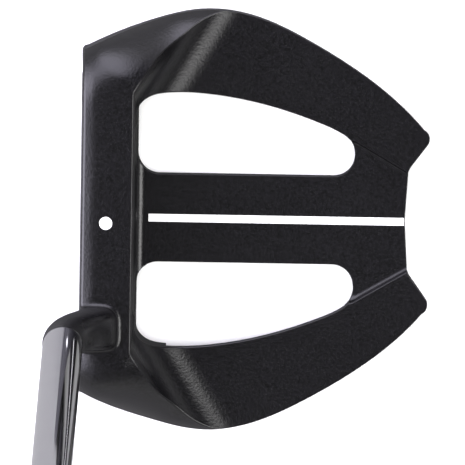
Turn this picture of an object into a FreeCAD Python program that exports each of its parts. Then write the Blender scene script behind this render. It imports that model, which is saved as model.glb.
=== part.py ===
import FreeCAD, Part
import math
import os

from FreeCAD import Vector

# Mallet putter, right-handed: a winged steel head with two windows, a one-piece slant neck,
# a chromed stepped shaft pushed over the neck's post, and a wrapped pistol grip.
#
# Design frame, in millimetres: X runs back from the leading edge, Y towards the toe, Z up,
# with the sole on Z = 0 and the sight line on Y = 0. The finished parts are moved so that
# the origin lies on the flat sole, ORIGIN_FROM_FACE behind the leading edge.
ORIGIN_FROM_FACE = 38.0

# Striking bar
LOFT_DEG = 2.5
TOPLINE_Z = 25.0
BAR_DEPTH = 13.15
FACE_HALF = 34.0
FACE_ROLL = [(0.0, FACE_HALF), (0.15, 38.0), (0.4, 40.4)]
SIDE_START_X = 1.5
LEADING_EDGE_RADIUS = 2.0
CROWN_RADIUS = 14.0
CROWN_START_X = 5.5
CROWN_SLOPE_DEG = 40.0

# Outline: it widens from the face to an apex, then tapers to the two rear tips
APEX_X = 33.0
APEX_HALF = 50.3
FRONT_TAPER = 2.5
FRONT_TAPER_REACH = 14.5
FRONT_TAPER_POWER = 1.71
SIDE_STATIONS = (9.0, 18.5, 28.0)
WING_EDGE = [(39.9, 48.85), (54.3, 42.7), (68.7, 33.8), (77.5, 26.5), (81.9, 21.8)]
TIP = [(83.15, 19.55), (82.6, 18.3)]
NOTCH = [(78.9, 13.4), (78.25, 12.15), (78.1, 10.9)]
REAR_CENTRE_X = 77.45

# Shoulders of the bar: rounded towards toe and heel, and falling diagonally to the wings
SHOULDER_INSET = 11.2
SHOULDER_RADIUS = 13.0
SHOULDER_SLOPE_DEG = 60.0
FALL_START = (12.1, 30.6)
FALL_REACH = 20.0
FALL_DEPTH = 8.7

# Centre deck and wings behind the bar
DECK_Z = 5.5
DECK_HALF = 10.45
DECK_FILLET = 2.2
DECK_CUT_HALF = 24.3
DECK_CORNER = 3.0
DECK_BEYOND = 10.0
STEP_FRONT = (65.1, 19.4)
STEP_REAR = (77.8, 12.0)
STEP_FILLET = 1.2
WING_Z = 9.8
WING_SLOPE = 0.055
SWOOSH_RADIUS = 12.1
SWOOSH_FOOT = (28.95, 33.3)
SWOOSH_ANGLE_DEG = 57.9
WING_REACH = 36.0
WING_END_X = 95.0

# Windows between the deck and the wings
WINDOW_FRONT_X = 13.75
WINDOW_INNER_RADIUS = 5.1
WINDOW_CORNER = [(WINDOW_FRONT_X, 25.8), (14.65, 27.9), (16.7, 29.45)]
WINDOW_CURVE = [(20.5, 30.25), (27.0, 30.3), (34.0, 29.6), (46.0, 27.1), (57.0, 23.4), (61.8, 21.25)]
WINDOW_REAR = [(64.4, 19.2), (65.3, 16.9), (65.3, 15.0)]
WINDOW_TURN = [(63.75, 11.8), (60.3, DECK_HALF)]

# Small radii on the edges
EDGE_RADIUS = 0.3
FRONT_TOP_RADIUS = 1.0
NECK_FOOT_RADIUS = 1.2

# Sole: flat in the middle, lifting gently to toe, heel and rear tips
SOLE_FLAT_HALF = 14.0
SOLE_LIFT_SLOPE = 0.04
SOLE_LIFT_CURVE = 0.0012
REAR_LIFT = 3.6
REAR_LIFT_START_X = 30.0
REAR_LIFT_REACH = 50.0

# Relief under each wing, which saves weight
RELIEF_ROOF = 3.0
RELIEF_OUTER = [(21.0, 44.6), (31.0, 46.4), (42.0, 44.2), (55.0, 38.4), (67.0, 30.2)]
RELIEF_INNER = [(62.0, 16.0), (50.0, 21.0), (38.0, 24.0), (21.0, 25.0)]
RELIEF_CORNER = 2.5

# Sight marks
DOT_X = 6.9
DOT_RADIUS = 1.55
LINE_FRONT_X = 16.5
LINE_HALF = 0.925
MARK_DEPTH = 0.4
PAINT_RECESS = 0.08

# Face insert
INSERT_HALF = 27.0
INSERT_LOW_Z = 5.0
INSERT_HIGH_Z = 20.5
INSERT_DEPTH = 4.0
INSERT_CORNER_RADIUS = 3.0
BOND_GAP = 0.15
GROOVE_COUNT = 9
GROOVE_HALF = 25.0
GROOVE_WIDTH = 0.55
GROOVE_DEPTH = 0.35

# Sole weights
WEIGHT_X = 6.6
WEIGHT_Y = 36.0
WEIGHT_Z = 2.0
WEIGHT_HEAD_RADIUS = 5.0
WEIGHT_HEAD_HEIGHT = 5.0
WEIGHT_STEM_RADIUS = 3.4
WEIGHT_STEM_HEIGHT = 5.0
WEIGHT_SOCKET_RADIUS = 1.9
WEIGHT_SOCKET_DEPTH = 2.4
WEIGHT_CLEARANCE = 0.1
WASHER_HEIGHT = 0.5

# Neck, post and shaft
LIE_DEG = 70.0
MOUTH = Vector(-2.2, -27.4, 44.0)
BARREL_RADIUS = 4.85
NECK_BASE = Vector(5.2, -24.9, 21.5)
NECK_FOOT_LEAN = Vector(0.0, 0.1, 8.5)
NECK_BARREL_LENGTH = 9.0
# Each: place along the neck, half-width, depth, squareness of the toe side and of the heel side,
# arch of the toe side, and extra depth of the heel side towards the front
NECK_STATIONS = [(0.0, 5.2, 5.0, 4.0, 5.0, 0.15, 0.20), (0.2, 5.0, 4.85, 3.8, 4.8, 0.12, 0.14),
                 (0.4, 4.7, 4.5, 3.2, 3.8, 0.045, 0.06), (0.6, 4.6, 4.45, 2.5, 3.0, 0.0, 0.0),
                 (0.8, 4.75, 4.7, 2.1, 2.4, 0.0, 0.0),
                 (1.0, BARREL_RADIUS, BARREL_RADIUS, 2.0, 2.0, 0.0, 0.0)]
NECK_SECTION_POINTS = 32
NECK_FOOT_X = (-1.0, 11.5)
NECK_FOOT_HALF = (19.0, 33.0)
POST_RADIUS = 3.95
POST_LENGTH = 32.0
POST_CHAMFER = 0.8
SHAFT_TIP_RADIUS = 4.75
SHAFT_WALL = 0.55
SHAFT_LENGTH = 814.0
FIRST_STEP = 250.0
STEP_SPACING = 32.0
STEP_COUNT = 10
STEP_RISE = 0.265
STEP_RAMP = 1.5

# Grip
GRIP_LENGTH = 265.0
GRIP_SKIN = 1.3
TAPE_THICKNESS = 0.25
END_CAP_LENGTH = 7.0
COLLAR_LENGTH = 6.0
VENT_RADIUS = 1.2
GRIP_HALF_WIDTHS = [(0.0, 8.7), (0.4, 10.6), (0.8, 12.4), (1.0, 13.0)]
GRIP_FLAT_OFFSETS = [(0.0, 8.5), (0.4, 9.6), (0.8, 10.4), (1.0, 10.2)]
GRIP_BELLY_OFFSETS = [(0.0, 8.7), (0.45, 10.8), (0.75, 13.0), (0.93, 16.6), (1.0, 15.6)]
GRIP_FLAT_POWER = 3.6
GRIP_BELLY_POWER = 2.0
GRIP_SECTION_POINTS = 32

SHAFT_BUTT_RADIUS = SHAFT_TIP_RADIUS + STEP_COUNT * STEP_RISE
GRIP_START = SHAFT_LENGTH + 3.0 - GRIP_LENGTH
SKIN_START = GRIP_START + COLLAR_LENGTH
SKIN_END = GRIP_START + GRIP_LENGTH - END_CAP_LENGTH
SHAFT_AXIS = Vector(0.0, -math.cos(math.radians(LIE_DEG)), math.sin(math.radians(LIE_DEG)))
HIGH_Z = 70.0


def front_edge_half(x):
    """Half-width of the outline between the face and the apex."""
    ahead = max(APEX_X - x, 0.0) / FRONT_TAPER_REACH
    return APEX_HALF - FRONT_TAPER * ahead ** FRONT_TAPER_POWER


def outline_wire():
    """Closed outline of the head seen from above."""
    toe_points = [(x, front_edge_half(x)) for x in (SIDE_START_X,) + SIDE_STATIONS] + WING_EDGE
    half = [bspline(FACE_ROLL + toe_points[:1]), bspline(toe_points), arc_through(WING_EDGE[-1], *TIP),
            line(TIP[-1], NOTCH[0]), arc_through(*NOTCH), line(NOTCH[-1], (REAR_CENTRE_X, 0.0))]
    front = line((0.0, -FACE_HALF), (0.0, FACE_HALF))
    return closed_wire([front] + half + [mirrored(edge) for edge in half])


def flat(point, z=0.0):
    return Vector(point[0], point[1], z)


def line(a, b):
    return Part.LineSegment(flat(a), flat(b)).toShape()


def arc_through(a, b, c):
    return Part.Arc(flat(a), flat(b), flat(c)).toShape()


def bspline(points):
    curve = Part.BSplineCurve()
    curve.interpolate([flat(p) for p in points])
    return curve.toShape()


def closed_wire(edges):
    return Part.Wire(Part.__sortEdges__(edges))


def prism(wire, z_low, z_high):
    """Upright solid over a closed plan wire."""
    face = Part.Face(wire)
    face.translate(Vector(0, 0, z_low))
    return face.extrude(Vector(0, 0, z_high - z_low))


def mirrored(shape):
    return shape.mirror(Vector(0, 0, 0), Vector(0, 1, 0))


def height_surface(height, x_range, y_range, columns, rows):
    """Smooth surface z = height(x, y) over a rectangle."""
    grid = []
    for i in range(columns + 1):
        x = x_range[0] + (x_range[1] - x_range[0]) * i / columns
        strip = []
        for j in range(rows + 1):
            y = y_range[0] + (y_range[1] - y_range[0]) * j / rows
            strip.append(Vector(x, y, height(x, y)))
        grid.append(strip)
    surface = Part.BSplineSurface()
    surface.interpolate(grid)
    return surface.toShape()


def rolled_drop(distance, radius, slope_deg=90.0):
    """Drop of a surface that starts level, curves down on a radius and keeps a final slope."""
    if distance <= 0.0:
        return 0.0
    reach = radius * math.sin(math.radians(slope_deg))
    if distance < reach:
        return radius - math.sqrt(radius ** 2 - distance ** 2)
    on_curve = radius * (1.0 - math.cos(math.radians(slope_deg)))
    return on_curve + (distance - reach) * math.tan(math.radians(slope_deg))


def topline_height(x, y):
    """Top of the bar: crowned to the face, rounded to toe and heel, falling to the wings."""
    half = front_edge_half(x)
    edge_slope = (front_edge_half(x + 0.1) - front_edge_half(x - 0.1)) / 0.2
    to_edge = (half - abs(y)) / math.hypot(1.0, edge_slope)
    drop = rolled_drop(CROWN_START_X - x, CROWN_RADIUS, CROWN_SLOPE_DEG)
    drop += rolled_drop(SHOULDER_INSET - to_edge, SHOULDER_RADIUS, SHOULDER_SLOPE_DEG)
    along_fall = (x - FALL_START[0] + abs(y) - FALL_START[1]) * math.sqrt(0.5)
    drop += FALL_DEPTH * smooth_step(along_fall / FALL_REACH)
    return TOPLINE_Z - drop


def smooth_step(t):
    t = min(max(t, 0.0), 1.0)
    return t * t * (3.0 - 2.0 * t)


def sole_height(x, y):
    """Underside of the head beside the flat strip."""
    out = abs(y) - SOLE_FLAT_HALF
    lift = SOLE_LIFT_SLOPE * out + SOLE_LIFT_CURVE * max(out, 0.0) ** 2
    rear = REAR_LIFT * smooth_step((x - REAR_LIFT_START_X) / REAR_LIFT_REACH)
    return lift + rear * smooth_step((out + 1.0) / 8.0)


def head_blank():
    """Outline cut to the face plane, the topline and the rounded leading edge."""
    blank = prism(outline_wire(), 0.0, TOPLINE_Z + 2.0)
    in_front = Part.makeBox(20.0, 140.0, 60.0, Vector(-20.0, -70.0, -10.0))
    in_front.rotate(Vector(0, 0, 0), Vector(0, 1, 0), LOFT_DEG)
    blank = blank.cut(in_front)
    over_bar = height_surface(topline_height, (-4.0, 38.0), (-56.0, 56.0), 28, 56)
    blank = blank.cut(over_bar.extrude(Vector(0, 0, 30.0)))
    corner = Part.makeBox(LEADING_EDGE_RADIUS + 1.0, 140.0, LEADING_EDGE_RADIUS + 1.0,
                          Vector(-1.0, -70.0, -1.0))
    roller = Part.makeCylinder(LEADING_EDGE_RADIUS, 140.0,
                               Vector(LEADING_EDGE_RADIUS, -70.0, LEADING_EDGE_RADIUS), Vector(0, 1, 0))
    return blank.cut(corner.cut(roller))


def above_wing_floor(offset):
    """Everything above the sloping plane of the wings' tops, moved up by offset."""
    block = Part.makeBox(160.0, 160.0, 100.0, Vector(-60.0, -80.0, 0.0))
    block.rotate(Vector(0, 0, 0), Vector(0, 1, 0), math.degrees(math.atan(WING_SLOPE)))
    block.translate(Vector(APEX_X, 0.0, WING_Z + offset))
    return block


def wing_cutter():
    """Space above the toe wing: bar wall, slanting concave sweep and sloping floor."""
    angle = math.radians(SWOOSH_ANGLE_DEG)
    along = Vector(math.cos(angle), math.sin(angle), 0.0)
    outward = Vector(-along.y, along.x, 0.0)
    wall_point = flat(SWOOSH_FOOT) + outward * SWOOSH_RADIUS
    corner = wall_point - along * ((wall_point.x - BAR_DEPTH) / along.x)
    far = wall_point + along * WING_REACH
    inner = (BAR_DEPTH, DECK_HALF)
    outer = (WING_END_X, far.y)
    edges = [line(inner, corner), line(corner, far), line(far, outer), line(outer, (WING_END_X, 0.0)),
             line((WING_END_X, 0.0), inner)]
    solid = prism(closed_wire(edges), 0.0, HIGH_Z)
    solid = solid.common(above_wing_floor(0.0))
    swoosh = [e for e in solid.Edges if e.BoundBox.ZMax < 20.0 and e.BoundBox.YMax > far.y - 0.1
              and e.BoundBox.XMin < BAR_DEPTH + 0.1]
    return solid.makeFillet(SWOOSH_RADIUS, swoosh)


def deck_cutter():
    """Space above the centre deck, with concave fillets to the bar and to the wing steps."""
    wall_end = (BAR_DEPTH, DECK_CUT_HALF - DECK_CORNER)
    turn = DECK_CORNER * (1.0 - math.sqrt(0.5))
    turn_middle = (BAR_DEPTH + turn, DECK_CUT_HALF - turn)
    turn_end = (BAR_DEPTH + DECK_CORNER, DECK_CUT_HALF)
    run_on = DECK_BEYOND / (STEP_REAR[0] - STEP_FRONT[0])
    beyond = (STEP_REAR[0] + DECK_BEYOND, STEP_REAR[1] + run_on * (STEP_REAR[1] - STEP_FRONT[1]))
    toe = [arc_through(wall_end, turn_middle, turn_end), line(turn_end, STEP_FRONT), line(STEP_FRONT, beyond)]
    heel = [mirrored(edge) for edge in toe]
    front = line((BAR_DEPTH, -wall_end[1]), wall_end)
    back = line(beyond, (beyond[0], -beyond[1]))
    solid = prism(closed_wire([front, back] + toe + heel), DECK_Z, HIGH_Z)
    floor_edges = [e for e in solid.Edges if e.BoundBox.ZMax < DECK_Z + 0.01]
    bar_edges = [e for e in floor_edges if e.BoundBox.XMax < BAR_DEPTH + DECK_CORNER + 0.01]
    solid = solid.makeFillet(DECK_FILLET, bar_edges)
    step_edges = [e for e in solid.Edges if e.BoundBox.ZMax < DECK_Z + 0.01
                  and e.BoundBox.XMin > STEP_FRONT[0] - 0.01 and e.BoundBox.XLength > 1.0]
    return solid.makeFillet(STEP_FILLET, step_edges)


def window_wire():
    """Toe window: square to the bar, straight beside the deck, curved beside the wing."""
    r = WINDOW_INNER_RADIUS
    inner_front = (WINDOW_FRONT_X + r, DECK_HALF)
    front_inner = (WINDOW_FRONT_X, DECK_HALF + r)
    turn = r * (1.0 - math.sqrt(0.5))
    edges = [line(front_inner, WINDOW_CORNER[0]), bspline(WINDOW_CORNER + WINDOW_CURVE + WINDOW_REAR),
             arc_through(WINDOW_REAR[-1], *WINDOW_TURN), line(WINDOW_TURN[-1], inner_front),
             arc_through(inner_front, (WINDOW_FRONT_X + turn, DECK_HALF + turn), front_inner)]
    return closed_wire(edges)


def sole_cutter():
    """Space below the toe side of the sole."""
    surface = height_surface(sole_height, (-5.0, 90.0), (8.0, 58.0), 24, 20)
    return surface.extrude(Vector(0, 0, -20.0))


def wing_relief():
    """Pocket under the toe wing, with a roof parallel to the wing's top."""
    edges = [bspline(RELIEF_OUTER), line(RELIEF_OUTER[-1], RELIEF_INNER[0]),
             bspline(RELIEF_INNER), line(RELIEF_INNER[-1], RELIEF_OUTER[0])]
    pocket = prism(closed_wire(edges), -5.0, WING_Z)
    corners = [e for e in pocket.Edges if e.BoundBox.ZLength > WING_Z]
    pocket = pocket.makeFillet(RELIEF_CORNER, corners)
    return pocket.cut(above_wing_floor(-RELIEF_ROOF))


def section_wire(centre, across, along, half, depths, powers, count, arch=0.0, slant=0.0):
    """Smooth closed section: its two sides differ in depth and in how square they are.

    A side of power 2 is an ellipse, and a higher power is squarer. The first side may be
    arched, and the second may deepen towards its lower end.
    """
    points = []
    for i in range(count):
        angle = 2.0 * math.pi * i / count
        c = math.cos(angle)
        s = math.sin(angle)
        side = 0 if s > 0.0 else 1
        share = math.copysign(abs(c) ** (2.0 / powers[side]), c)
        v = depths[side] * math.copysign(abs(s) ** (2.0 / powers[side]), s)
        if side == 0:
            v *= 1.0 - arch * share ** 2
        else:
            v *= 1.0 + slant * (1.0 - share) / 2.0
        points.append(centre + across * half * share + along * v)
    curve = Part.BSplineCurve()
    curve.interpolate(points, PeriodicFlag=True)
    return Part.Wire([curve.toShape()])


def neck_solid():
    """Slant neck: a foot arched on the toe side, leaning forwards into a round barrel."""
    poles = [NECK_BASE, NECK_BASE + NECK_FOOT_LEAN, MOUTH - SHAFT_AXIS * NECK_BARREL_LENGTH, MOUTH]
    path = Part.BezierCurve()
    path.setPoles(poles)
    wires = []
    for t, half, depth, toe_power, heel_power, arch, slant in NECK_STATIONS:
        tangent = path.tangent(t)[0]
        across = Vector(1, 0, 0) - tangent * tangent.x
        across.normalize()
        along = tangent.cross(across)
        wires.append(section_wire(path.value(t), across, along, half, (depth, depth),
                                  (toe_power, heel_power), NECK_SECTION_POINTS, arch, slant))
    return Part.makeLoft(wires, True, False)


def post_solid():
    """Post on the neck that the shaft slides over."""
    post = Part.makeCylinder(POST_RADIUS, POST_LENGTH + 1.0, MOUTH - SHAFT_AXIS, SHAFT_AXIS)
    tip = [e for e in post.Edges if e.CenterOfMass.distanceToPoint(MOUTH + SHAFT_AXIS * POST_LENGTH) < 0.1]
    return post.makeChamfer(POST_CHAMFER, tip)


def in_face_plane(shape):
    """Lean a shape drawn square to the ground back by the loft."""
    shape.rotate(Vector(0, 0, 0), Vector(0, 1, 0), LOFT_DEG)
    return shape


def insert_block(depth, grow):
    """Rounded slab behind the face plane; grow enlarges it all round."""
    width = 2.0 * (INSERT_HALF + grow)
    height = INSERT_HIGH_Z - INSERT_LOW_Z + 2.0 * grow
    slab = Part.makeBox(depth + 1.0, width, height,
                        Vector(-1.0, -INSERT_HALF - grow, INSERT_LOW_Z - grow))
    ends = [e for e in slab.Edges if e.BoundBox.XLength > depth]
    slab = slab.makeFillet(INSERT_CORNER_RADIUS + grow, ends)
    in_front = Part.makeBox(5.0, 140.0, 60.0, Vector(-5.0, -70.0, -10.0))
    return in_face_plane(slab.cut(in_front))


def face_insert():
    """Polymer strike insert with level grooves."""
    insert = insert_block(INSERT_DEPTH - BOND_GAP, -BOND_GAP)
    pitch = (INSERT_HIGH_Z - INSERT_LOW_Z) / (GROOVE_COUNT + 1)
    for i in range(GROOVE_COUNT):
        z = INSERT_LOW_Z + pitch * (i + 1) - GROOVE_WIDTH / 2.0
        groove = Part.makeBox(2.0 * GROOVE_DEPTH, 2.0 * GROOVE_HALF, GROOVE_WIDTH,
                              Vector(-GROOVE_DEPTH, -GROOVE_HALF, z))
        insert = insert.cut(in_face_plane(groove))
    return insert


def insert_bond():
    """Adhesive film under and around the insert."""
    return insert_block(INSERT_DEPTH, 0.0).cut(insert_block(INSERT_DEPTH - BOND_GAP, -BOND_GAP))


def upright(radius, z_low, z_high, x, y):
    return Part.makeCylinder(radius, z_high - z_low, Vector(x, y, z_low))


def weight_port(y):
    """Stepped, blind port under the bar for one sole weight."""
    head_top = WEIGHT_Z + WEIGHT_HEAD_HEIGHT + WASHER_HEIGHT
    wide = upright(WEIGHT_HEAD_RADIUS + WEIGHT_CLEARANCE, -5.0, head_top, WEIGHT_X, y)
    narrow = upright(WEIGHT_STEM_RADIUS, 0.0, WEIGHT_Z + WEIGHT_HEAD_HEIGHT + WEIGHT_STEM_HEIGHT + 0.3,
                     WEIGHT_X, y)
    return wide.fuse(narrow)


def sole_weight(y):
    """Screw-in weight: round head with a six-sided socket, and a stem that fills its thread."""
    head_top = WEIGHT_Z + WEIGHT_HEAD_HEIGHT
    head = upright(WEIGHT_HEAD_RADIUS, WEIGHT_Z, head_top, WEIGHT_X, y)
    rim = [e for e in head.Edges if e.BoundBox.ZMax < WEIGHT_Z + 0.01]
    head = head.makeChamfer(0.4, rim)
    stem = upright(WEIGHT_STEM_RADIUS, head_top - 0.5, head_top + WEIGHT_STEM_HEIGHT, WEIGHT_X, y)
    corners = []
    for i in range(7):
        angle = math.pi * i / 3.0
        corners.append(Vector(WEIGHT_X + WEIGHT_SOCKET_RADIUS * math.cos(angle),
                              y + WEIGHT_SOCKET_RADIUS * math.sin(angle), 0.0))
    socket = prism(Part.makePolygon(corners), WEIGHT_Z - 0.5, WEIGHT_Z + WEIGHT_SOCKET_DEPTH)
    return head.fuse(stem).cut(socket)


def weight_washer(y):
    """Nylon ring that keeps a weight from working loose."""
    low = WEIGHT_Z + WEIGHT_HEAD_HEIGHT
    ring = upright(WEIGHT_HEAD_RADIUS, low, low + WASHER_HEIGHT, WEIGHT_X, y)
    return ring.cut(upright(WEIGHT_STEM_RADIUS, low - 1.0, low + 1.0, WEIGHT_X, y))


def line_groove(z_low, z_high, rear_x):
    return Part.makeBox(rear_x - LINE_FRONT_X, 2.0 * LINE_HALF, z_high - z_low,
                        Vector(LINE_FRONT_X, -LINE_HALF, z_low))


def sight_line_paint():
    return line_groove(DECK_Z - MARK_DEPTH, DECK_Z - PAINT_RECESS, REAR_CENTRE_X - 0.15)


def sight_dot_paint():
    return upright(DOT_RADIUS, TOPLINE_Z - MARK_DEPTH, TOPLINE_Z - PAINT_RECESS, DOT_X, 0.0)


def edges_between(shape, x_range, half_range, z_range, shortest):
    """Edges wholly inside a box given by X, distance from the sight line, and Z."""
    found = []
    for edge in shape.Edges:
        box = edge.BoundBox
        near = 0.0 if box.YMin < 0.0 < box.YMax else min(abs(box.YMin), abs(box.YMax))
        far = max(abs(box.YMin), abs(box.YMax))
        inside = x_range[0] < box.XMin and box.XMax < x_range[1]
        inside = inside and half_range[0] < near and far < half_range[1]
        inside = inside and z_range[0] < box.ZMin and box.ZMax < z_range[1]
        if inside and edge.Length > shortest:
            found.append(edge)
    return found


def soften_edges(body):
    """Small radii on the edges that are dressed before coating."""
    bar_rear = ((BAR_DEPTH - 0.05, BAR_DEPTH + 0.05), (-1.0, 31.3), (24.8, 25.1), 8.0)
    ridge = ((BAR_DEPTH - 0.15, 36.0), (30.9, 50.6), (9.0, 25.2), 6.6)
    front_top = ((0.5, 1.6), (-1.0, 42.0), (16.5, 24.5), 30.0)
    wing_window = ((WINDOW_FRONT_X - 0.1, 64.4), (19.3, 30.6), (8.0, 18.0), 10.0)
    window_end = ((64.0, 65.2), (19.3, 19.6), (7.9, 8.3), 0.5)
    step_top = ((65.0, 78.3), (11.7, 19.5), (7.2, 8.1), 10.0)
    rounds = [([bar_rear, ridge], EDGE_RADIUS), ([front_top], FRONT_TOP_RADIUS),
              ([window_end, wing_window, step_top], EDGE_RADIUS)]
    for places, radius in rounds:
        edges = [edge for place in places for edge in edges_between(body, *place)]
        body = body.makeFillet(radius, edges).Solids[0]
    return body


def head_body():
    """One steel casting: bar, deck, wings, neck and post, with its machined pockets."""
    body = head_blank()
    toe_wing = wing_cutter()
    window = prism(window_wire(), -5.0, HIGH_Z)
    sole = sole_cutter()
    relief = wing_relief()
    cutters = [toe_wing, mirrored(toe_wing), deck_cutter(), window, mirrored(window), sole, mirrored(sole),
               relief, mirrored(relief)]
    for cutter in cutters:
        body = body.cut(cutter)
    body = soften_edges(body.Solids[0])
    body = body.fuse([neck_solid(), post_solid()])
    foot = [e for e in edges_between(body, NECK_FOOT_X, NECK_FOOT_HALF, (22.0, 25.2), 0.0)
            if e.BoundBox.YMax < 0.0]
    body = body.makeFillet(NECK_FOOT_RADIUS, foot)
    pockets = [insert_block(INSERT_DEPTH, 0.0), weight_port(WEIGHT_Y), weight_port(-WEIGHT_Y),
               line_groove(DECK_Z - MARK_DEPTH, DECK_Z + 1.0, REAR_CENTRE_X + 5.0),
               upright(DOT_RADIUS, TOPLINE_Z - MARK_DEPTH, TOPLINE_Z + 1.0, DOT_X, 0.0)]
    for pocket in pockets:
        body = body.cut(pocket)
    return body.Solids[0]


def along_shaft(shape):
    """Stand a shape drawn on the Z axis on the neck's mouth, at the lie angle."""
    shape.rotate(Vector(0, 0, 0), Vector(1, 0, 0), 90.0 - LIE_DEG)
    shape.translate(MOUTH)
    return shape


def tube(inner, outer, low, high):
    ring = Part.makeCylinder(outer, high - low, Vector(0, 0, low))
    return ring.cut(Part.makeCylinder(inner, high - low + 2.0, Vector(0, 0, low - 1.0)))


def shaft():
    """Stepped steel tube: parallel tip, then equal steps up to the butt."""
    outer = [(SHAFT_TIP_RADIUS, 0.0)]
    radius = SHAFT_TIP_RADIUS
    for i in range(STEP_COUNT):
        at = FIRST_STEP + STEP_SPACING * i
        outer.append((radius, at))
        radius += STEP_RISE
        outer.append((radius, at + STEP_RAMP))
    outer.append((radius, SHAFT_LENGTH))
    inner = [(r - SHAFT_WALL, s) for r, s in reversed(outer)]
    corners = [Vector(r, 0, s) for r, s in outer + inner]
    profile = Part.Face(Part.makePolygon(corners + corners[:1]))
    return along_shaft(profile.revolve(Vector(0, 0, 0), Vector(0, 0, 1), 360.0))


def shaft_bond():
    """Epoxy sleeve between the post and the shaft."""
    return along_shaft(tube(POST_RADIUS, SHAFT_TIP_RADIUS - SHAFT_WALL, 0.0, POST_LENGTH - 1.0))


def grip_section(t, inset):
    """Closed grip section at t (0 at its mouth, 1 at its butt), flat on the toe side."""
    depths = (blend(GRIP_FLAT_OFFSETS, t) - inset, blend(GRIP_BELLY_OFFSETS, t) - inset)
    return section_wire(Vector(0, 0, GRIP_START + GRIP_LENGTH * t), Vector(1, 0, 0), Vector(0, 1, 0),
                        blend(GRIP_HALF_WIDTHS, t) - inset, depths, (GRIP_FLAT_POWER, GRIP_BELLY_POWER),
                        GRIP_SECTION_POINTS)


def blend(stops, t):
    """Value at t on a smooth run through (t, value) stops."""
    for (t0, a), (t1, b) in zip(stops, stops[1:]):
        if t <= t1:
            return a + (b - a) * smooth_step((t - t0) / (t1 - t0))
    return stops[-1][1]


def grip_solid(inset, low, high, count):
    """Solid grip form between two distances from the neck's mouth."""
    wires = []
    for i in range(count + 1):
        s = low + (high - low) * i / count
        wires.append(grip_section((s - GRIP_START) / GRIP_LENGTH, inset))
    return Part.makeLoft(wires, True, False)


def grip_bore(low, high):
    return Part.makeCylinder(SHAFT_BUTT_RADIUS + TAPE_THICKNESS, high - low, Vector(0, 0, low))


def grip_tape():
    """Double-sided tape wound on the butt under the grip."""
    return along_shaft(tube(SHAFT_BUTT_RADIUS, SHAFT_BUTT_RADIUS + TAPE_THICKNESS, GRIP_START, SHAFT_LENGTH))


def grip_collar():
    """Hard ring that closes the grip's lower end."""
    ring = grip_solid(0.0, GRIP_START, SKIN_START, 2)
    return along_shaft(ring.cut(grip_bore(GRIP_START - 1.0, SKIN_START + 1.0)))


def grip_core():
    """Foam body of the grip."""
    core = grip_solid(GRIP_SKIN, SKIN_START, SKIN_END, 16)
    return along_shaft(core.cut(grip_bore(SKIN_START - 1.0, SKIN_END + 1.0)))


def grip_skin():
    """Soft skin bonded round the foam."""
    skin = grip_solid(0.0, SKIN_START, SKIN_END, 16)
    return along_shaft(skin.cut(grip_solid(GRIP_SKIN, SKIN_START, SKIN_END, 16)))


def grip_end_cap():
    """Rubber cap over the butt, with the small vent that lets air out when it is fitted."""
    top = GRIP_START + GRIP_LENGTH
    cap = grip_solid(0.0, SKIN_END, top, 2)
    cap = cap.cut(grip_bore(SKIN_END - 1.0, SHAFT_LENGTH))
    cap = cap.cut(Part.makeCylinder(VENT_RADIUS, 20.0, Vector(0, 0, top - 10.0)))
    return along_shaft(cap)


def save(name, shape):
    """Write one node, moved to the origin on the sole."""
    shape.translate(Vector(-ORIGIN_FROM_FACE, 0, 0))
    shape.exportStep("parts/%s.step" % name)
    print("%-18s %-8s valid %s, solids %d, %.1f mm3"
          % (name, shape.ShapeType, shape.isValid(), len(shape.Solids), shape.Volume))


os.makedirs("parts", exist_ok=True)
save("head_body", head_body())
save("face_insert", face_insert())
save("insert_bond", insert_bond())
save("sight_line_paint", sight_line_paint())
save("sight_dot_paint", sight_dot_paint())
for side, y in (("toe", WEIGHT_Y), ("heel", -WEIGHT_Y)):
    save(side + "_weight", sole_weight(y))
    save(side + "_weight_washer", weight_washer(y))
save("shaft", shaft())
save("shaft_bond", shaft_bond())
save("grip_tape", grip_tape())
save("grip_collar", grip_collar())
save("grip_core", grip_core())
save("grip_skin", grip_skin())
save("grip_end_cap", grip_end_cap())
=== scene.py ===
import math

import bmesh
import bpy
from mathutils import Matrix, Vector


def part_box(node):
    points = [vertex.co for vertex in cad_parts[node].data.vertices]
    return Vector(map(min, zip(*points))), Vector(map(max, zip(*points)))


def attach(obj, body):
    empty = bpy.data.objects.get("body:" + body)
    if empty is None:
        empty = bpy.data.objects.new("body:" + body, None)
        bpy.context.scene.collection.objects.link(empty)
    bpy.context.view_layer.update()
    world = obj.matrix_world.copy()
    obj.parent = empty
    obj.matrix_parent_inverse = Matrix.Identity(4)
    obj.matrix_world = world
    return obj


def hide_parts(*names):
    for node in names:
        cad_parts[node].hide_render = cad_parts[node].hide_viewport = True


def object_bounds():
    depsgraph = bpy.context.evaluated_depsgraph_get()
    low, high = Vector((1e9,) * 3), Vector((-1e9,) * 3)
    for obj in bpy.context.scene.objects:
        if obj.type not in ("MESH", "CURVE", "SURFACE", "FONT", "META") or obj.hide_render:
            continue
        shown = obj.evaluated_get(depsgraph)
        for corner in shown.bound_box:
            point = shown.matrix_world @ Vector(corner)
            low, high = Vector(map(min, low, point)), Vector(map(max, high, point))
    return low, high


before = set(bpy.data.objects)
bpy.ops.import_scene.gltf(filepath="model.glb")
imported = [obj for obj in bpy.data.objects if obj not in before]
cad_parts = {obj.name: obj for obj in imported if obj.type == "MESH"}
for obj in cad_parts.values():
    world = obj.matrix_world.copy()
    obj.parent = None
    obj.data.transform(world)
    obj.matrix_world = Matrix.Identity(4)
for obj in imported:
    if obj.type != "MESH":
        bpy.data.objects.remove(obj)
cad_low, cad_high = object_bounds()

# Sizes in metres. The frame's origin lies on the sole under the sight line, with X towards the
# back of the head, Y towards the toe and Z up.

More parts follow.
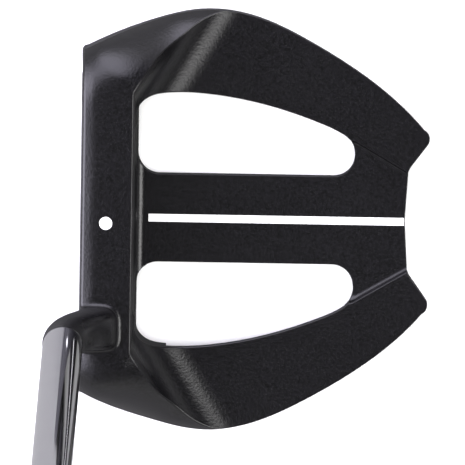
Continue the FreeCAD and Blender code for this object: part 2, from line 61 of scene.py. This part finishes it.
# Camera: nearly overhead, a little towards the toe and the back, from far enough to look flat
CAMERA_DISTANCE = 3.0
CAMERA_LEAN_TOE = 0.0805
CAMERA_LEAN_BACK = 0.021
CAMERA_ROLL_DEG = 0.87
CAMERA_AIM = Vector((-0.00145, -0.00323, 0.0055))
VIEW_WIDTH = 0.1107
SENSOR_MM = 36.0

# Shaft and grip; each grip list holds (place along the grip, size from the shaft's axis)
LIE_DEG = 70.0
SHAFT_TIP_RADIUS = 0.00475
GRIP_START = 0.552
GRIP_LENGTH = 0.265
COLLAR_LENGTH = 0.006
END_CAP_LENGTH = 0.007
GRIP_HALF_WIDTHS = [(0.0, 0.0087), (0.4, 0.0106), (0.8, 0.0124), (1.0, 0.0130)]
GRIP_FLAT_OFFSETS = [(0.0, 0.0085), (0.4, 0.0096), (0.8, 0.0104), (1.0, 0.0102)]
GRIP_BELLY_OFFSETS = [(0.0, 0.0087), (0.45, 0.0108), (0.75, 0.0130), (0.93, 0.0166), (1.0, 0.0156)]
GRIP_FLAT_POWER = 3.6
GRIP_BELLY_POWER = 2.0
GRIP_SKIN_LENGTH = GRIP_LENGTH - COLLAR_LENGTH - END_CAP_LENGTH
GRIP_ROUND = 160
GRIP_ROWS = 460

# Pattern of the grip skin; panels and fades are shares of a full turn
FLAT_CENTRE = 0.25
TREAD_DEPTH = 0.00045
RIB_PITCH = 0.0034
RIB_SHARPNESS = 1.2
DIAMONDS_ROUND = 18
DIAMOND_LENGTH = 0.0052
DIAMOND_GROOVE = 0.32
FLAT_PANEL_HALF = 0.11
BELLY_PANEL_START = 0.215
PANEL_FADE = 0.012
PLAIN_END = 0.004

# Colours shared by the grip's small parts
BLACK = (0.020, 0.020, 0.021)
DARK_GREY = (0.030, 0.030, 0.032)

# Roughness of the head's upright walls
WALL_ROUGHNESS = 0.75

# Floor, a little below the sole
FLOOR_HALF = 100.0
FLOOR_GAP = 0.0002

# Studio light: azimuth from +X towards +Y, angle from overhead, inner and outer radius, level
NEUTRAL_BOXES = [(-9.0, 42.0, 4.0, 24.0, 6.8),
                 (180.0, 30.0, 5.0, 50.0, 0.27),
                 (-90.0, 62.0, 10.0, 40.0, 0.3)]
VIOLET_BOXES = [(98.0, 56.0, 10.0, 38.0, 3.8),
                (180.0, 66.0, 14.0, 48.0, 6.6)]
NEUTRAL_LIGHT = (1.0, 0.99, 0.985, 1.0)
VIOLET_LIGHT = (0.98, 0.95, 1.12, 1.0)
TENT_LEVEL = 0.02
HORIZON_LEVEL = 0.6
HORIZON_TOP = 0.5
HORIZON_LOW = 0.1
OVERHEAD_ENERGY = 2.8
OVERHEAD_SPREAD_DEG = 25.0
FLOOR_BOUNCE = 0.23


# ---------------------------------------------------------------- node helpers

def new_material(name):
    """An empty node material with its output."""
    material = bpy.data.materials.new(name)
    material.use_nodes = True
    nodes = material.node_tree.nodes
    nodes.clear()
    output = nodes.new("ShaderNodeOutputMaterial")
    return material, nodes, material.node_tree.links, output


def surface(nodes, links, output, **values):
    """Principled shader joined to the output, with constants on its own sockets."""
    shader = nodes.new("ShaderNodeBsdfPrincipled")
    for label, value in values.items():
        shader.inputs[label.replace("_", " ")].default_value = value
    links.new(shader.outputs["BSDF"], output.inputs["Surface"])
    return shader


def place(nodes):
    """The point in the frame, in metres."""
    return nodes.new("ShaderNodeTexCoord").outputs["Object"]


def noise(nodes, links, scale, detail=2.0, roughness=0.5):
    """Noise with features about 1/scale metres across."""
    texture = nodes.new("ShaderNodeTexNoise")
    texture.inputs["Scale"].default_value = scale
    texture.inputs["Detail"].default_value = detail
    texture.inputs["Roughness"].default_value = roughness
    links.new(place(nodes), texture.inputs["Vector"])
    return texture.outputs["Fac"]


def spread(nodes, links, value, low, high, from_low=0.3, from_high=0.7):
    """Map a 0 to 1 value onto a range."""
    mapper = nodes.new("ShaderNodeMapRange")
    mapper.inputs["From Min"].default_value = from_low
    mapper.inputs["From Max"].default_value = from_high
    mapper.inputs["To Min"].default_value = low
    mapper.inputs["To Max"].default_value = high
    links.new(value, mapper.inputs["Value"])
    return mapper.outputs["Result"]


def tint(nodes, links, value, dark, light):
    """Colour between dark and light."""
    mixer = nodes.new("ShaderNodeMix")
    mixer.data_type = "RGBA"
    mixer.inputs["A"].default_value = (*dark, 1.0)
    mixer.inputs["B"].default_value = (*light, 1.0)
    links.new(value, mixer.inputs["Factor"])
    return mixer.outputs["Result"]


def bump(nodes, links, height, distance, strength=1.0, under=None):
    """Bump normal from a height, over another normal where one is given."""
    bumper = nodes.new("ShaderNodeBump")
    bumper.inputs["Distance"].default_value = distance
    bumper.inputs["Strength"].default_value = strength
    links.new(height, bumper.inputs["Height"])
    if under is not None:
        links.new(under, bumper.inputs["Normal"])
    return bumper.outputs["Normal"]


def eased_edges(nodes, radius):
    """Normal that rounds sharp edges over a small radius."""
    bevel = nodes.new("ShaderNodeBevel")
    bevel.samples = 6
    bevel.inputs["Radius"].default_value = radius
    return bevel.outputs["Normal"]


def rougher_walls(nodes, links, roughness, wall_roughness):
    """Roughness that rises on upright walls, so that they stay dull beside the satin top."""
    split = nodes.new("ShaderNodeSeparateXYZ")
    links.new(nodes.new("ShaderNodeNewGeometry").outputs["True Normal"], split.inputs["Vector"])
    steep = nodes.new("ShaderNodeMath")
    steep.operation = "ABSOLUTE"
    links.new(split.outputs["Z"], steep.inputs[0])
    mixer = nodes.new("ShaderNodeMix")
    links.new(spread(nodes, links, steep.outputs["Value"], 1.0, 0.0, 0.12, 0.4), mixer.inputs["Factor"])
    links.new(roughness, mixer.inputs["A"])
    mixer.inputs["B"].default_value = wall_roughness
    return mixer.outputs["Result"]


# ---------------------------------------------------------------- materials

def head_coating():
    """Satin black coating with a fine speckled grain and a faint violet cast."""
    material, nodes, links, output = new_material("head_coating")
    shader = surface(nodes, links, output, Specular_IOR_Level=0.5)
    grain = noise(nodes, links, 1700.0, 3.0, 0.65)
    cloud = noise(nodes, links, 60.0, 3.0)
    speck = spread(nodes, links, grain, 0.0, 1.0, 0.32, 0.68)
    colour = tint(nodes, links, speck, (0.0000, 0.0000, 0.0001), (0.0052, 0.0049, 0.0062))
    links.new(colour, shader.inputs["Base Color"])
    satin = spread(nodes, links, cloud, 0.215, 0.245)
    links.new(rougher_walls(nodes, links, satin, WALL_ROUGHNESS), shader.inputs["Roughness"])
    normal = bump(nodes, links, grain, 0.00006, 0.9, eased_edges(nodes, 0.0002))
    links.new(normal, shader.inputs["Normal"])
    return material


def white_enamel():
    """White paint fill with a slightly uneven surface."""
    material, nodes, links, output = new_material("white_enamel")
    shader = surface(nodes, links, output, Specular_IOR_Level=0.5)
    mottle = noise(nodes, links, 900.0, 3.0)
    colour = tint(nodes, links, mottle, (0.78, 0.78, 0.77), (0.90, 0.90, 0.90))
    links.new(colour, shader.inputs["Base Color"])
    links.new(spread(nodes, links, mottle, 0.40, 0.55), shader.inputs["Roughness"])
    links.new(bump(nodes, links, mottle, 0.00004, 0.5), shader.inputs["Normal"])
    return material


def moulded_polymer():
    """Dark grey moulded polymer of the face insert."""
    material, nodes, links, output = new_material("moulded_polymer")
    shader = surface(nodes, links, output, Specular_IOR_Level=0.45)
    grain = noise(nodes, links, 1800.0, 2.0)
    colour = tint(nodes, links, grain, (0.055, 0.056, 0.062), (0.085, 0.086, 0.094))
    links.new(colour, shader.inputs["Base Color"])
    links.new(spread(nodes, links, grain, 0.42, 0.55), shader.inputs["Roughness"])
    links.new(bump(nodes, links, grain, 0.00003, 0.5, eased_edges(nodes, 0.0001)), shader.inputs["Normal"])
    return material


def turned_steel():
    """Bare steel of the sole weights."""
    material, nodes, links, output = new_material("turned_steel")
    shader = surface(nodes, links, output, Metallic=1.0)
    grain = noise(nodes, links, 1400.0, 2.0)
    links.new(tint(nodes, links, grain, (0.42, 0.42, 0.43), (0.55, 0.55, 0.56)), shader.inputs["Base Color"])
    links.new(spread(nodes, links, grain, 0.22, 0.34), shader.inputs["Roughness"])
    links.new(bump(nodes, links, grain, 0.00001, 0.4, eased_edges(nodes, 0.0001)), shader.inputs["Normal"])
    return material


def bright_chrome():
    """Bright chrome plating on the shaft."""
    material, nodes, links, output = new_material("bright_chrome")
    shader = surface(nodes, links, output, Metallic=1.0)
    haze = noise(nodes, links, 160.0, 4.0)
    links.new(tint(nodes, links, haze, (0.56, 0.56, 0.585), (0.62, 0.62, 0.64)), shader.inputs["Base Color"])
    links.new(spread(nodes, links, haze, 0.05, 0.09), shader.inputs["Roughness"])
    links.new(bump(nodes, links, haze, 0.000004, 0.3), shader.inputs["Normal"])
    return material


def soft_skin():
    """Soft black moulded skin, slightly worn to grey."""
    material, nodes, links, output = new_material("soft_skin")
    shader = surface(nodes, links, output, Specular_IOR_Level=0.4, Sheen_Weight=0.15, Sheen_Roughness=0.4)
    grain = noise(nodes, links, 1700.0, 3.0)
    wear = noise(nodes, links, 45.0, 4.0)
    colour = tint(nodes, links, wear, (0.012, 0.012, 0.013), (0.034, 0.034, 0.036))
    links.new(colour, shader.inputs["Base Color"])
    links.new(spread(nodes, links, wear, 0.62, 0.48), shader.inputs["Roughness"])
    links.new(bump(nodes, links, grain, 0.00004, 0.5), shader.inputs["Normal"])
    return material


def plain_grained(name, dark, light, rough_low, rough_high, scale):
    """Simple grained material for the small and inner parts."""
    material, nodes, links, output = new_material(name)
    shader = surface(nodes, links, output)
    grain = noise(nodes, links, scale, 2.0)
    links.new(tint(nodes, links, grain, dark, light), shader.inputs["Base Color"])
    links.new(spread(nodes, links, grain, rough_low, rough_high), shader.inputs["Roughness"])
    links.new(bump(nodes, links, grain, 0.00003, 0.4), shader.inputs["Normal"])
    return material


def give(name, material):
    """Put a material on every slot of a CAD node."""
    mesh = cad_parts[name].data
    mesh.materials.clear()
    mesh.materials.append(material)


def paint_nodes():
    """Give every CAD node its material."""
    give("head_body", head_coating())
    enamel = white_enamel()
    give("sight_line_paint", enamel)
    give("sight_dot_paint", enamel)
    give("face_insert", moulded_polymer())
    steel = turned_steel()
    give("toe_weight", steel)
    give("heel_weight", steel)
    give("shaft", bright_chrome())
    adhesive = plain_grained("adhesive", (0.30, 0.27, 0.18), (0.38, 0.34, 0.24), 0.4, 0.5, 900.0)
    give("insert_bond", adhesive)
    give("shaft_bond", adhesive)
    nylon = plain_grained("nylon", (0.55, 0.54, 0.50), (0.65, 0.64, 0.60), 0.4, 0.5, 1500.0)
    give("toe_weight_washer", nylon)
    give("heel_weight_washer", nylon)
    give("grip_tape", plain_grained("tape", (0.55, 0.50, 0.38), (0.65, 0.60, 0.47), 0.6, 0.8, 1200.0))
    give("grip_core", plain_grained("foam", (0.10, 0.10, 0.10), (0.16, 0.16, 0.16), 0.8, 0.95, 2200.0))
    give("grip_collar", plain_grained("collar_plastic", BLACK, DARK_GREY, 0.3, 0.42, 1500.0))
    give("grip_skin", plain_grained("skin", BLACK, DARK_GREY, 0.5, 0.62, 1500.0))
    cap_rubber = plain_grained("cap_rubber", (0.018, 0.018, 0.018), (0.028, 0.028, 0.028), 0.55, 0.7, 1500.0)
    give("grip_end_cap", cap_rubber)


# ---------------------------------------------------------------- grip skin

def smooth_step(t):
    """Smooth rise from 0 to 1."""
    t = min(max(t, 0.0), 1.0)
    return t * t * (3.0 - 2.0 * t)


def blend(stops, t):
    """Value at t on a smooth run through (t, value) stops."""
    for (t0, a), (t1, b) in zip(stops, stops[1:]):
        if t <= t1:
            return a + (b - a) * smooth_step((t - t0) / (t1 - t0))
    return stops[-1][1]


def shaft_frame():
    """Neck mouth, shaft direction and the side the grip's flat faces."""
    lie = math.radians(LIE_DEG)
    along = Vector((0.0, -math.cos(lie), math.sin(lie)))
    low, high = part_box("shaft")
    mouth = Vector(((low.x + high.x) / 2.0,
                    high.y - SHAFT_TIP_RADIUS * math.sin(lie),
                    low.z + SHAFT_TIP_RADIUS * math.cos(lie)))
    return mouth, along, Vector((0.0, along.z, -along.y))


def tread(distance, fraction):
    """Depth of the pattern, 0 to 1: level ribs on the flat, crossed grooves round the belly."""
    offset = abs(fraction - FLAT_CENTRE)
    from_flat = min(offset, 1.0 - offset)
    on_flat = 1.0 - smooth_step((from_flat - FLAT_PANEL_HALF) / PANEL_FADE)
    on_belly = smooth_step((from_flat - BELLY_PANEL_START) / PANEL_FADE)
    rib = smooth_step(0.5 + RIB_SHARPNESS * math.sin(2.0 * math.pi * distance / RIB_PITCH))
    turns = DIAMONDS_ROUND * fraction
    rows = distance / DIAMOND_LENGTH
    crossed = min(abs(math.sin(math.pi * (turns + rows))), abs(math.sin(math.pi * (turns - rows))))
    diamond = 1.0 - smooth_step(crossed / DIAMOND_GROOVE)
    from_ends = min(distance, GRIP_SKIN_LENGTH - distance)
    clear = smooth_step((from_ends - PLAIN_END) / PLAIN_END)
    return clear * (on_flat * rib + on_belly * diamond)


def grip_ring(mouth, along, toeward, distance):
    """Points round the grip skin at a distance from its lower end."""
    from_mouth = GRIP_START + COLLAR_LENGTH + distance
    t = (from_mouth - GRIP_START) / GRIP_LENGTH
    half = blend(GRIP_HALF_WIDTHS, t)
    flat_depth = blend(GRIP_FLAT_OFFSETS, t)
    belly_depth = blend(GRIP_BELLY_OFFSETS, t)
    points = []
    for i in range(GRIP_ROUND):
        fraction = i / GRIP_ROUND
        c = math.cos(2.0 * math.pi * fraction)
        s = math.sin(2.0 * math.pi * fraction)
        power, depth = (GRIP_FLAT_POWER, flat_depth) if s >= 0.0 else (GRIP_BELLY_POWER, belly_depth)
        across = half * math.copysign(abs(c) ** (2.0 / power), c)
        up = depth * math.copysign(abs(s) ** (2.0 / power), s)
        shrink = 1.0 - TREAD_DEPTH * tread(distance, fraction) / math.hypot(across, up)
        outward = Vector((across, 0.0, 0.0)) + toeward * up
        points.append(mouth + along * from_mouth + outward * shrink)
    return points


def moulded_grip_skin():
    """Soft skin with its moulded pattern, in place of the plain CAD skin."""
    mouth, along, toeward = shaft_frame()
    builder = bmesh.new()
    rings = []
    for i in range(GRIP_ROWS + 1):
        ring = grip_ring(mouth, along, toeward, GRIP_SKIN_LENGTH * i / GRIP_ROWS)
        rings.append([builder.verts.new(point) for point in ring])
    for lower, upper in zip(rings, rings[1:]):
        for i in range(GRIP_ROUND):
            j = (i + 1) % GRIP_ROUND
            builder.faces.new((lower[i], lower[j], upper[j], upper[i]))
    builder.faces.new(rings[0])
    builder.faces.new(list(reversed(rings[-1])))
    bmesh.ops.recalc_face_normals(builder, faces=builder.faces)
    for face in builder.faces:
        face.smooth = len(face.verts) == 4
    mesh = bpy.data.meshes.new("moulded_grip_skin")
    builder.to_mesh(mesh)
    builder.free()
    mesh.materials.append(soft_skin())
    skin = bpy.data.objects.new("moulded_grip_skin", mesh)
    bpy.context.scene.collection.objects.link(skin)
    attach(skin, "root")
    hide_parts("grip_skin")


# ---------------------------------------------------------------- studio

def studio_floor():
    """Large floor under the sole, paler to the camera than in the light it bounces."""
    mesh = bpy.data.meshes.new("studio_floor")
    builder = bmesh.new()
    corners = []
    for x, y in ((-1, -1), (1, -1), (1, 1), (-1, 1)):
        corners.append(builder.verts.new((x * FLOOR_HALF, y * FLOOR_HALF, cad_low.z - FLOOR_GAP)))
    builder.faces.new(corners)
    builder.to_mesh(mesh)
    builder.free()
    floor = bpy.data.objects.new("studio_floor", mesh)
    bpy.context.scene.collection.objects.link(floor)
    material, nodes, links, output = new_material("studio_paper")
    shader = surface(nodes, links, output, Roughness=0.9, Specular_IOR_Level=0.1)
    mottle = noise(nodes, links, 3.0, 2.0)
    seen = tint(nodes, links, mottle, (0.90, 0.90, 0.895), (0.915, 0.915, 0.91))
    switch = nodes.new("ShaderNodeMix")
    switch.data_type = "RGBA"
    switch.inputs["A"].default_value = (FLOOR_BOUNCE, FLOOR_BOUNCE, FLOOR_BOUNCE * 0.98, 1.0)
    links.new(seen, switch.inputs["B"])
    links.new(nodes.new("ShaderNodeLightPath").outputs["Is Camera Ray"], switch.inputs["Factor"])
    links.new(switch.outputs["Result"], shader.inputs["Base Color"])
    mesh.materials.append(material)


def studio_dome():
    """Light tent: dim overhead and all round, with a few soft boxes and a bright horizon."""
    world = bpy.data.worlds.new("light_tent")
    world.use_nodes = True
    nodes = world.node_tree.nodes
    links = world.node_tree.links
    nodes.clear()
    output = nodes.new("ShaderNodeOutputWorld")
    direction = nodes.new("ShaderNodeTexCoord").outputs["Generated"]
    split = nodes.new("ShaderNodeSeparateXYZ")
    links.new(direction, split.inputs["Vector"])
    horizon = fade(nodes, links, split.outputs["Z"], HORIZON_TOP, HORIZON_LOW, HORIZON_LEVEL)
    tent = added(nodes, links, horizon, None, TENT_LEVEL)
    both = nodes.new("ShaderNodeAddShader")
    groups = ((NEUTRAL_BOXES, NEUTRAL_LIGHT, tent), (VIOLET_BOXES, VIOLET_LIGHT, None))
    for number, (boxes, colour, start) in enumerate(groups):
        background = nodes.new("ShaderNodeBackground")
        background.inputs["Color"].default_value = colour
        links.new(box_light(nodes, links, direction, boxes, start), background.inputs["Strength"])
        links.new(background.outputs["Background"], both.inputs[number])
    links.new(both.outputs["Shader"], output.inputs["Surface"])
    bpy.context.scene.world = world


def box_light(nodes, links, direction, boxes, total):
    """Sum of the soft boxes seen in a direction, over a starting value where one is given."""
    for azimuth, polar, inner, outer, level in boxes:
        towards = Vector((math.sin(math.radians(polar)) * math.cos(math.radians(azimuth)),
                          math.sin(math.radians(polar)) * math.sin(math.radians(azimuth)),
                          math.cos(math.radians(polar))))
        facing = nodes.new("ShaderNodeVectorMath")
        facing.operation = "DOT_PRODUCT"
        facing.inputs[1].default_value = towards
        links.new(direction, facing.inputs[0])
        box = fade(nodes, links, facing.outputs["Value"], math.cos(math.radians(outer)),
                   math.cos(math.radians(inner)), level)
        total = box if total is None else added(nodes, links, total, box)
    return total


def fade(nodes, links, value, none_at, full_at, level):
    """Smooth rise from zero to level between two values."""
    mapper = nodes.new("ShaderNodeMapRange")
    mapper.interpolation_type = "SMOOTHSTEP"
    mapper.inputs["From Min"].default_value = none_at
    mapper.inputs["From Max"].default_value = full_at
    mapper.inputs["To Min"].default_value = 0.0
    mapper.inputs["To Max"].default_value = level
    links.new(value, mapper.inputs["Value"])
    return mapper.outputs["Result"]


def added(nodes, links, first, second, constant=0.0):
    """Sum of a value and another, or a constant."""
    adder = nodes.new("ShaderNodeMath")
    adder.operation = "ADD"
    links.new(first, adder.inputs[0])
    if second is None:
        adder.inputs[1].default_value = constant
    else:
        links.new(second, adder.inputs[1])
    return adder.outputs["Value"]


def overhead_sun():
    """Soft overhead light that whitens the floor, kept out of glossy reflections."""
    data = bpy.data.lights.new("overhead", "SUN")
    data.energy = OVERHEAD_ENERGY
    data.angle = math.radians(OVERHEAD_SPREAD_DEG)
    lamp = bpy.data.objects.new("overhead", data)
    lamp.visible_glossy = False
    bpy.context.scene.collection.objects.link(lamp)


def camera():
    """Camera at the address view, looking down on the head."""
    back = Vector((CAMERA_LEAN_BACK, CAMERA_LEAN_TOE, 1.0)).normalized()
    roll = math.radians(CAMERA_ROLL_DEG)
    up = Vector((-math.sin(roll), math.cos(roll), 0.0))
    right = up.cross(back).normalized()
    up = back.cross(right)
    data = bpy.data.cameras.new("camera")
    data.sensor_width = SENSOR_MM
    data.lens = CAMERA_DISTANCE * SENSOR_MM / VIEW_WIDTH
    data.dof.use_dof = False
    viewer = bpy.data.objects.new("camera", data)
    turn = Matrix((right, up, back)).transposed().to_4x4()
    viewer.matrix_world = Matrix.Translation(CAMERA_AIM + back * CAMERA_DISTANCE) @ turn
    bpy.context.scene.collection.objects.link(viewer)
    bpy.context.scene.camera = viewer


paint_nodes()
moulded_grip_skin()
studio_floor()
studio_dome()
overhead_sun()
camera()
bpy.context.scene.view_settings.view_transform = "Standard"
